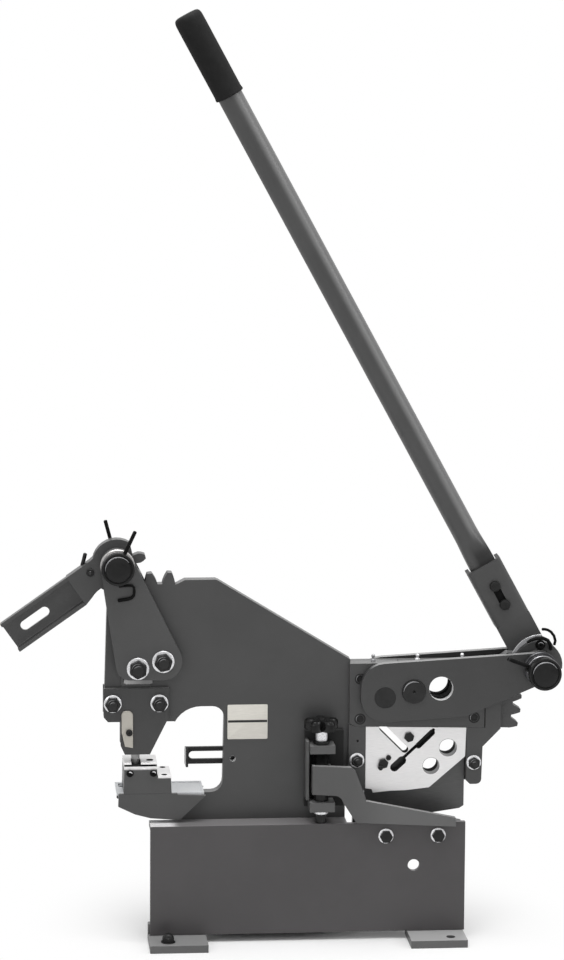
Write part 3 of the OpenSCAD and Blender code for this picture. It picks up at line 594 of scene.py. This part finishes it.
def hub_pin(form, hub, reach, ring):
    """The pin of a toothed hub: a ring on the arm, a dark sleeve, and a black cap that
    reaches to the front."""
    form.shank(on_axis(hub, 30), FRONT, 15, 66, CAP_BLACK, 40)
    form.turned(on_axis(hub, -30.4), FRONT, [
        (27.4, 0), (28.8, 0.7), (28.8, 4.4), (27.6, 5.8), (25.4, 6.2)], ring, 64)
    form.turned(on_axis(hub, -36), FRONT, [
        (25, 0), (25.6, 0.6), (25.6, 3.4), (24, 4.2)], ring, 64)
    form.shank(on_axis(hub, -40), FRONT, 22.5, reach - 53, CAP_BLACK, 56)
    form.turned(on_axis(hub, 14 - reach), FRONT, [
        (25.4, 0), (27.1, 0.8), (27.6, 2.4), (27.6, 11.6), (27.1, 13.2), (25.8, 14), (23.8, 14),
        (22.9, 13.4), (22.6, 12), (21.2, 12), (21, 14.4), (20.4, 15.6), (19.2, 16.2), (9, 16.5),
        (0.6, 16.5)], CAP_BLACK, 64)
    form.turned(on_axis(hub, 30.4), BACK, [
        (22.6, 0), (24, 1.4), (24, 12.6), (22.6, 14), (15, 14.2), (15, 16.6), (13.6, 18),
        (0.6, 18)], CAP_BLACK, 48)
    form.turned((hub[0], 37.5, hub[1] - 23.4), (0, 0, -1), [
        (4, 0), (4, 2.4), (3.6, 2.8), (2.2, 2.8), (2, 1, 3.4), (0.5, 0.9)], CAP_BLACK, 24)


def peg(form, hub, y, degrees, start, end, radius):
    """A straight wire that points away from a hub."""
    near, far = around(hub, start, degrees), around(hub, end, degrees)
    middle = ((near[0] + far[0]) / 2, (near[1] + far[1]) / 2)
    form.wire([on_axis(p, y) for p in (near, middle, far)], radius, WIRE_BLACK, 20)


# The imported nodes
def dressed(names, finish, bevel=0.7):
    """Gives nodes their finish and rounded edges that catch light."""
    for name in names.split():
        node = NODES[name]
        node.data.materials.clear()
        node.data.materials.append(finish)
        for polygon in node.data.polygons:
            polygon.material_index = 0
        if "custom_normal" in node.data.attributes:
            node.data.attributes.remove(node.data.attributes["custom_normal"])
        node.data.shade_smooth()
        joined = node.modifiers.new("joined", "WELD")
        joined.merge_threshold = 2e-6
        flat = node.modifiers.new("flat", "DECIMATE")
        flat.decimate_type = "DISSOLVE"
        flat.angle_limit = math.radians(0.3)
        soft = node.modifiers.new("soft", "BEVEL")
        soft.width = bevel * MM
        soft.segments = 2
        soft.limit_method = "ANGLE"
        soft.angle_limit = SHARP
        soft.harden_normals = True
        soft.use_clamp_overlap = True


dressed("frame_plate top_bar", FRAME_PAINT)
dressed("base_plate", BASE_PAINT)
dressed("left_foot right_foot rear_foot", FOOT_PAINT)
dressed("punch_guide_front punch_guide_rear", GUIDE_PAINT)
dressed("jaw_cheek_front jaw_cheek_rear die_holder", CHEEK_PAINT)
dressed("pivot_plate_front left_strip_front right_guide_front gear_segment", INNER_PAINT)
dressed("housing_rear", HOUSING_PAINT)
dressed("blade_block", DARK_PAINT)
dressed("clamp_bracket", BRACKET_PAINT)
dressed("shear_arm_front", ARM_PAINT)
dressed("shear_arm_rear", REAR_ARM_PAINT)
dressed("punch_cheek_front punch_cheek_rear", CHEEK_PAINT)
dressed("punch_hub punch_socket lever_hub", LEVER_PAINT)
dressed("lever_socket", SOCKET_PAINT)
dressed("clamp_arm", CLAMP_PAINT)
dressed("stripper die step_plate", DIE_STEEL)
dressed("section_blade", BLADE_STEEL)
dressed("link_strip", STRIP_STEEL, 0.3)
dressed("die_table", TABLE_STEEL)
dressed("lower_blade blade_carrier ram", TOOL_STEEL)
dressed("upper_blade", SHADED_STEEL)
dressed("shear_pivot_pin drive_pin", PIN_STEEL)
dressed("punch", PUNCH_STEEL)
dressed("gauge_bar", GAUGE_BLACK, 0.5)

# Bolts of the base: two in front, three through the rear foot, one in the left foot
form = Form()
for x in (130.6, 218.8):
    washer(form, (x, -BASE_FACE, 178), FRONT, 12.6, 2.5, ZINC)
    hexagon(form, (x, -BASE_FACE - 2.5, 178), FRONT, 19, 7.5, BLACK)
    form.turned((x, -BASE_FACE - 9.5, 178), FRONT, [(6, 0), (5.6, 0.7), (1, 0.9)], BLACK, 24)
    form.shank((x, -50, 178), BACK, 6, 44, BLACK)
for x in (-160, -66, 28):
    washer(form, (x, -10, 31), FRONT, 12, 2.5, ZINC)
    hexagon(form, (x, -12.5, 31), FRONT, 19, 7.5, BLACK)
    form.shank((x, -9, 31), BACK, 6, 31, BLACK)
    washer(form, (x, 23, 31), BACK, 12, 2.5, ZINC)
    hexagon(form, (x, 25.5, 31), BACK, 19, 8, BLACK)
    stud(form, (x, 33.5, 31), BACK, 5.8, 7, BLACK)
form.shank((-237, -85, 0), UP, 7.2, 14, BLACK)
washer(form, (-237, -85, 13), UP, 12, 2.5, BLACK)
hexagon(form, (-237, -85, 15.5), UP, 19, 7, BLACK)
form.turned((-237, -85, 22), UP, [
    (8.6, 0), (8.2, 2.6), (6.6, 4.8), (3.8, 6.2), (1, 6.7)], BLACK, 32)
form.made("base_bolts", "frame", "base_screws")

# Bolts of the punch side
form = Form()
for x in (-326.5, -248.5):
    through_bolt(form, (x, 402.5), SIDE_FACE, 16, 23, 10, 14.9, 4)
form.made("guide_bolts", "frame", "punch_guide_bolts")
form = Form()
through_bolt(form, CHEEK_PIVOT, CHEEK_FACE, 20, 27, 11, 18.6, 4.5, turn=0.2)
form.made("cheek_pivot_bolt", "frame", "punch_pivot_bolt")
form = Form()
through_bolt(form, LINK, LINK_FACE, 20, 27, 11, 18.6, 4.5, turn=0.45)
form.made("ram_link_bolt", "punch_cheeks", "link_bolt")

# The pale finger beside the punch and its black screw
form = Form()
tip = [(-292.8, 327.5), (-292.8, 383)]
tip += [around((-299.8, 383), 7, a) for a in (18, 36, 54, 72, 90)]
tip += [around((-304.8, 383), 7, a) for a in (90, 108, 126, 144, 162, 180)]
tip += [(-311.5, 354), (-306, 330)]
form.slab(tip, -23, -18, FINGER_PAINT, 1.0)
capped(form, (-299, 354), -26.4, 5.6, 3.4, 2.9, BLACK)
form.shank((-299, -23, 354), BACK, 2.9, 13, BLACK, 20)
form.made("stripping_finger", "frame", "punch_finger")

# The punch hub's pin with its two wires and the hook under it
form = Form()
hub_pin(form, PUNCH_HUB, 62, BOSS)
peg(form, PUNCH_HUB, -48, 65, 20, 67, 3.2)
peg(form, PUNCH_HUB, 37.5, 105, 20, 66, 3.2)
hook = [(-316.5, 604.5), (-304, 605.6), (-294.5, 605.4), (-291.7, 602), (-291.4, 595),
        (-292.2, 589.4), (-295.4, 585.4), (-300.8, 583.4), (-317.7, 580.6)]
form.wire([on_axis(p, -32.6) for p in hook], 2.1, WIRE_BLACK, 14,
          [1, 1, 1, 1, 1, 1.15, 1.3, 1.4, 1.4])
# Painted highlight on the cap's face
form.glint(PUNCH_HUB, -64, 21.6, FASTENER, 1.0, 185, 35)
form.made("punch_hub_bolt", "punch_cheeks", "punch_hub_pin")

# The lever hub's pin with its cotter and a grub screw, with painted highlights on the cap, a
# bright collar and the drive pin's edge
form = Form()
hub_pin(form, LEVER_HUB, 78, HUB_STEEL)
peg(form, LEVER_HUB, -56, 159, 20, 64, 3.3)
for r in (61.4, 62.8):
    form.turned(on_axis(around(LEVER_HUB, r, 159), -56), outward(159), [
        (2.9, 0), (3.3, 0.2), (3.3, 0.7), (2.9, 0.9)], HUB_STEEL, 24)
form.turned(on_axis(around(LEVER_HUB, 22, 172), -52), outward(172), [
    (4.2, 0), (4.2, 7), (3.4, 8), (2.2, 8), (2, 6, 3.6), (0.5, 6)], CAP_BLACK, 24)
# Painted highlight on the cap's face
form.glint(LEVER_HUB, -80, 21.6, FASTENER, 1.1, 175, 30)
# Painted highlight: a bright collar ring on the sleeve
form.turned(on_axis(LEVER_HUB, -49.5), FRONT, [
    (22.5, 0), (25.4, 0.5), (26.2, 1.6), (25.4, 2.8), (22.5, 3.2)], FASTENER, 56)
# Painted highlight on the drive pin's edge
form.glint(DRIVE_PIN, -34.6, 17.9, FASTENER, 1.1, 175, 65)
form.made("lever_hub_bolt", "shear_arms", "lever_pin")

# Small parts that turn with the punch hub
form = Form()
capped(form, (-363.6, 624), -13.2, 6.6, 3.2, 3.4, BLACK)
form.turned((-363.6, -11, 624), FRONT, [(3.2, 0), (3.2, 3.4), (2.4, 4.2), (0.4, 4.4)], BOSS, 24)
form.wire([(-376.4, 4, 634), (-374.4, 4, 641), (-371.4, 4, 653)], 3.3, BLACK, 16)
form.made("punch_hub_fittings", "punch_handle")

# Spring wires and a screw on the lever's hub, with painted highlights on the screw and on the
# hub's rim
form = Form()
form.wire([(x, -12.6, z) for x, z in (
    (397.4, 518.9), (402, 518.8), (407, 517.6), (412.5, 514.1), (417.6, 507.4),
    (420, 498.8), (418.4, 492.2))], 2.4, WIRE_BLACK, 14)
form.wire([(x, -14.8, z) for x, z in (
    (372.6, 497.2), (378, 500.6), (387, 503.6), (398.2, 504.2), (406.6, 500.4),
    (411.7, 492.7), (412, 484))], 2.6, WIRE_BLACK, 14, [0.7, 1, 1.1, 1.2, 1.2, 1.2, 1.1])
capped(form, (395, 491.6), -14.6, 6.2, 5.2, 3, WIRE_BLACK)
form.turned((395, -9.6, 491.6), FRONT, [(8.4, 0), (8.4, 1.2), (7.8, 1.8), (6, 1.8)],
            WIRE_BLACK, 32)
# Painted highlights: a crescent on the screw and a bright rim round the hub
form.glint((395, 491.6), -15.2, 5, RIM_HIGHLIGHT, 0.8, 150, 20)
rim = []
for i in range(17):
    inner, outer = 44.6, 50.4 + 4 * i / 16
    rim.append([on_axis(around(LEVER_HUB, r, 152 - 4.2 * i), y) for r, y in (
        (inner, -12.2), (outer, -12.2), (outer, -12.7), (outer - 0.6, -13.2),
        (inner + 0.6, -13.2), (inner, -12.7))])
form.rings(rim, RIM_HIGHLIGHT)
form.made("lever_hub_springs", "hand_lever")

# Screws of the shear housing: four with hexagonal sockets, two zinc bolts
form = Form()
for x, z in ((89.5, 439), (89.5, 370.3), (283, 439), (283, 370)):
    for towards in (FRONT, BACK):
        form.turned((x, towards[1] * 17.6, z), towards, [
            (9.6, 0), (9.6, 0.3), (9.1, 0.75), (7.4, 0.75), (7, 0.2), (6.2, 0.2), (5.8, 0.6),
            (4.6, 0.6), (4.1, 0.1, 7.2), (3, -1.2, 7.2)], BLACK, 48)
    form.shank((x, 16, z), FRONT, 6, 32, BLACK)
    # Painted highlight on the rim of each front head
    form.glint((x, z), -18.3, 6.8, FASTENER, 0.7, 215, 110)
for axis in ((84.5, 299.9), (283, 293)):
    through_bolt(form, axis, SIDE_FACE, 12, 18, 7, 12.4, 2.5, turn=0.5)
    form.shank(on_axis(axis, 17), FRONT, 5.8, 34, BLACK)
form.made("housing_bolts", "frame", "housing_screws")

# Screws of the section blade
form = Form()
for x, z, height in ((172.7, 338.6, 5), (129.2, 293.8, 6)):
    hexagon(form, (x, -18, z), FRONT, 15, height, BLACK, 0.25)
    form.shank((x, -18, z), BACK, 5, 13, BLACK)
form.turned((138.3, -18, 303.4), FRONT, [
    (4.4, 0), (4.4, 2.4), (3.7, 3.1), (2, 3.1), (1.8, 1.4)], BLACK, 28)
form.turned((124, -18, 287.4), FRONT, [(4, 0), (4, 8), (3.2, 9), (0.6, 9.3)], BLACK, 28)
form.made("blade_bolts", "frame", "blade_screws")

# Screws of the die holder, its step and the jaw
form = Form()
for x in (-298, -258.7):
    capped(form, (x, 286), -34.2, 5, 4.2, 2.9, WIRE_BLACK)
    form.shank((x, -30, 286), BACK, 2.5, 10, WIRE_BLACK, 20)
    form.turned((x, -30, 286), FRONT, [(6, 0), (6, 0.5), (5.6, 0.8), (5, 0.8)], WIRE_BLACK, 36)
    # Painted highlight on each screw's head
    form.glint((x, 286), -34.4, 3.6, ZINC, 0.9, 125, 15)
for y in (-18, 29):
    form.turned((-240, y, 271), UP, [
        (2.4, 0), (2.4, 5.7), (4.4, 5.8), (4.4, 7), (3.9, 7.5), (2.4, 7.5), (2.2, 6.2, 3.9),
        (0.5, 6.1)], WIRE_BLACK, 28)
for x, z in ((-240, 228), (-205, 226)):
    form.shank((x, -23.4, z), BACK, 5, 54, WIRE_BLACK, 28)
    form.turned((x, 30, z), BACK, [
        (8, 0), (8, 5.4), (7.4, 6), (4.6, 6), (4.4, 5.6, 7.4), (4.4, 2.4, 7.4), (1, 2.2)],
        WIRE_BLACK, 36)
form.made("jaw_bolts", "frame", "jaw_screws")

# Grease nipples
form = Form()
for x, finish in ((113, FASTENER), (188, ZINC), (264, ZINC)):
    form.turned((x, 0, 465), UP, [
        (4.2, 0, 7.6), (4.2, 3.6, 7.6), (3.6, 4.2), (2.5, 4.6), (2.2, 6.4), (2.9, 7.4),
        (3.2, 8.8), (2.9, 10.4), (2, 11.6), (1, 12.1), (0.3, 12.2)], finish, 36)
form.made("grease_nipples", "frame", "oilers")

# The clamping screw of the back gauge, seen in the frame's bore, and a near-white lining of the
# bore: bare bored steel, lightened as painted light on its lit wall
form = Form()
form.turned(on_axis(GAUGE_SCREW, 37), FRONT, [(4.7, 0), (4.7, 35), (4, 36)], BLACK, 32)
form.turned(on_axis(GAUGE_SCREW, 16.8), BACK, [
    (12.4, 0), (13, 0.8), (13, 8.4), (12, 9.4), (6, 9.6), (6, 16)], BLACK, 40)
section = [(4.75, 1.3), (4.95, 0.8), (4.97, -9.8), (4.82, -9.8), (4.75, -8.2), (4.75, 1.3)]
form.rings([[on_axis(around(GAUGE_SCREW, r, 360 * i / 32), y) for i in range(32)]
            for r, y in section], BRIGHT_EDGE, ends=False)
form.made("gauge_clamp_screw", "frame", "gauge_screw")


# The lever's tube, grip and bolts
def at_lever(reach, sideways=0.0, y=0.0):
    """A point at a distance from the lever's hub and beside its middle line."""
    return Vector(on_axis(LEVER_HUB, y)) + ALONG * reach + ACROSS * sideways


def squash(reach):
    """How far the tube is pressed flat at a distance from the hub: 0 round, 1 flat."""
    t = min(1, max(0, (252 - reach) / 58))
    return t * t * (3 - 2 * t)


form = Form()
rings = []
for reach in [88, 120, 150, 175, 186, *range(192, 257, 4), *range(300, 1237, 72)]:
    flat = squash(reach)
    wide, deep = TUBE_RADIUS + 1.9 * flat, TUBE_RADIUS - 5.4 * flat
    power = 1 / (1 + 0.85 * flat)
    ring = []
    for i in range(48):
        a = 2 * math.pi * i / 48
        c, s = math.cos(a), math.sin(a)
        ring.append(at_lever(
            reach, wide * math.copysign(abs(c) ** power, c),
            TUBE_FRONT + deep + deep * math.copysign(abs(s) ** power, s)))
    rings.append(ring)
form.rings(rings, TUBE_PAINT)
form.made("lever_pipe", "hand_lever", "lever_tube")

form = Form()
form.turned(at_lever(1091, y=TUBE_FRONT + TUBE_RADIUS), ALONG, [
    (21.4, 0.4), (23.6, 0), (24.9, 1), (25.1, 3), (24.7, 5), (24.3, 7), (24.4, 60), (24.5, 130),
    (24.4, 141), (23.9, 145.4), (22.7, 149), (20.6, 151.4), (17, 152.6), (9, 153), (1, 153)],
    GRIP, 56)
form.made("hand_grip", "hand_lever", "lever_grip")

form = Form()
for reach in (115, 151):
    form.turned(at_lever(reach, y=10.3), FRONT, [
        (8.6, 0), (9, 0.5), (9, 4.4), (8.2, 5.8), (6.2, 6.8), (3, 7), (0.5, 7)], BLACK, 40)
    form.shank(at_lever(reach, y=10), BACK, 6, 45, BLACK)
    washer(form, at_lever(reach, y=48), BACK, 11.5, 2, FASTENER)
    hexagon(form, at_lever(reach, y=50), BACK, 18, 9, BLACK)
    stud(form, at_lever(reach, y=59), BACK, 5.8, 7, BLACK)
form.made("lever_bolts", "hand_lever", "socket_bolts")

# Hold-down: the screw with its thread, collars and nut, and the five-lobed knob
form = Form()
thread = [row for i in range(15) for row in ((12.2, i * 1.7), (11.3, i * 1.7 + 0.85))]
for height, profile, finish, sides in (
        (201, [(9.4, 0, 18.4), (10.6, 1, 18.4), (10.6, 14.6, 18.4), (8, 15)], CAP_BLACK, 48),
        (216, [(11.4, 0), (12.3, 0.9), (12.3, 4.2), (11.5, 5), (9.8, 5)], ZINC, 48),
        (221, [(9.8, 0), (9.8, 17.6)], CAP_BLACK, 40),
        (238.6, [(11.6, 0), (12.2, 0.6), (12.2, 56)], CAP_BLACK, 48),
        (294.6, thread + [(12.2, 25.5), (11.6, 26.2)], CAP_BLACK, 48),
        (320.8, [(9.8, 0), (9.8, 14.8)], CAP_BLACK, 40),
        (335.6, [(13.2, 0), (14, 0.8), (14, 5), (13.2, 5.8), (10, 6)], CAP_BLACK, 48),
        (341.6, [(9.9, 0), (9.9, 16.4)], ZINC, 40)):
    form.turned((*SPINDLE, height), UP, profile, finish, sides)
form.made("hold_down_screw", "hold_down_spindle", "clamp_spindle")

form = Form()
rings = []
for height, scale in ((357.6, 0.3), (357.8, 0.78), (358.6, 0.93), (360.4, 1), (371, 1),
                      (374.4, 0.97), (377, 0.88), (378, 0.7), (378, 0.4), (377.6, 0.12)):
    ring = []
    for i in range(100):
        a = 2 * math.pi * i / 100
        lobe = 0.5 + 0.5 * math.cos(5 * (a - math.radians(18)))
        r = (16.5 + 13.2 * lobe ** 0.7) * scale
        ring.append((SPINDLE[0] + r * math.cos(a), SPINDLE[1] + r * math.sin(a), height))
    rings.append(ring)
form.rings(rings, KNOB)
form.turned((*SPINDLE, 377.8), UP, [(6, 0), (5.6, 0.8), (1, 0.9)], KNOB, 32)
form.made("five_lobed_knob", "hold_down_spindle", "clamp_knob")

# A blank plate with rounded corners and one plain dark band
form = Form()
corners = []
for corner, first in (((-67.9, 339), -90), ((-67.9, 394), 0), ((-131.4, 394), 90),
                      ((-131.4, 339), 180)):
    corners += [around(corner, 2, first + 22.5 * i) for i in range(5)]
form.slab(corners, -10.9, -10, PLATE_BLANK, 0.25)
form.slab([(-132.6, 365.6), (-66.7, 365.6), (-66.7, 369.6), (-132.6, 369.6)], -11, -10.5,
          PLATE_BAND, 0.1)
form.made("blank_plate", "frame", "name_plate")


# Floor and room. What the camera sees of them is white.
WHITE = (1, 1, 1, 1)


def floor_finish():
    """Carries the shadow near the object and is white further off."""
    f = Finish("floor", Base_Color=(0.98, 0.98, 0.98, 1), Roughness=0.9, Specular_IOR_Level=0.0)
    spot = f.node("ShaderNodeTexCoord", output="Object")
    away = f.node("ShaderNodeVectorMath", {"operation": "LENGTH"}, {0: spot}, output="Value")
    seen = f.node("ShaderNodeLightPath", output="Is Camera Ray")
    white = f.node("ShaderNodeEmission", None, {"Color": WHITE})
    f.show(f.node("ShaderNodeMixShader", None, {
        0: f.steps(away, 0.12, 0.5) * seen, 1: f.shader, 2: white}))
    return f.owner


def lay_floor(half):
    mesh = bpy.data.meshes.new("floor")
    mesh.from_pydata([(-half, -half, 0), (half, -half, 0), (half, half, 0), (-half, half, 0)],
                     [], [(0, 1, 2, 3)])
    mesh.materials.append(floor_finish())
    floor = bpy.data.objects.new("floor", mesh)
    bpy.context.scene.collection.objects.link(floor)


def white_room(glow):
    """Lights the object evenly with a dim glow, and is white to the camera and in metal."""
    world = bpy.data.worlds.new("white_room")
    bpy.context.scene.world = world
    room = Tree(world, "ShaderNodeOutputWorld")
    camera_ray, through, mirrored = (
        room.node("ShaderNodeLightPath", output=f"Is {ray} Ray")
        for ray in ("Camera", "Transmission", "Glossy"))
    dim, bright = (
        room.node("ShaderNodeBackground", None, {"Color": WHITE, "Strength": strength})
        for strength in (glow, 1.0))
    room.show(room.node("ShaderNodeMixShader", None, {
        0: camera_ray.high(through).high(mirrored), 1: dim, 2: bright}))


def soft_light(name, place, aim, size, power):
    lamp = bpy.data.lights.new(name, "AREA")
    lamp.shape = "RECTANGLE"
    lamp.size, lamp.size_y = size
    lamp.energy = power
    made = bpy.data.objects.new(name, lamp)
    made.location = place
    made.rotation_mode = "QUATERNION"
    made.rotation_quaternion = (Vector(aim) - Vector(place)).to_track_quat("-Z", "Y")
    bpy.context.scene.collection.objects.link(made)


lay_floor(30)
white_room(0.32)
soft_light("overhead", (-0.3, -0.5, 4.2), (0, 0, 0.5), (3.0, 2.4), 128)
soft_light("front_left", (-3.0, -3.6, 2.4), (0, 0, 0.6), (2.0, 2.0), 34)
soft_light("right_side", (3.4, -1.3, 2.6), (0, 0, 0.9), (1.2, 2.4), 34)


# Camera, in metres and radians, at the photograph's viewing angle
def photograph_view(place, yaw, pitch, roll, lens, shift):
    camera = bpy.data.cameras.new("camera")
    camera.lens = lens
    camera.shift_x, camera.shift_y = shift
    camera.clip_start, camera.clip_end = 0.1, 100
    level_right = Vector((math.cos(yaw), math.sin(yaw), 0))
    level_ahead = Vector((-math.sin(yaw), math.cos(yaw), 0))
    ahead = level_ahead * math.cos(pitch) + Vector(UP) * math.sin(pitch)
    above = Vector(UP) * math.cos(pitch) - level_ahead * math.sin(pitch)
    right = level_right * math.cos(roll) + above * math.sin(roll)
    up = above * math.cos(roll) - level_right * math.sin(roll)
    looker = bpy.data.objects.new("camera", camera)
    looker.matrix_world = Matrix((
        (right.x, up.x, -ahead.x, place[0]),
        (right.y, up.y, -ahead.y, place[1]),
        (right.z, up.z, -ahead.z, place[2]),
        (0, 0, 0, 1)))
    bpy.context.scene.collection.objects.link(looker)
    bpy.context.scene.camera = looker


photograph_view((-0.560, -5.000, 1.650), yaw=-0.070927, pitch=-0.109638, roll=0.003211,
                lens=114.411, shift=(0.1, -0.2))
bpy.context.scene.view_settings.view_transform = "Standard"
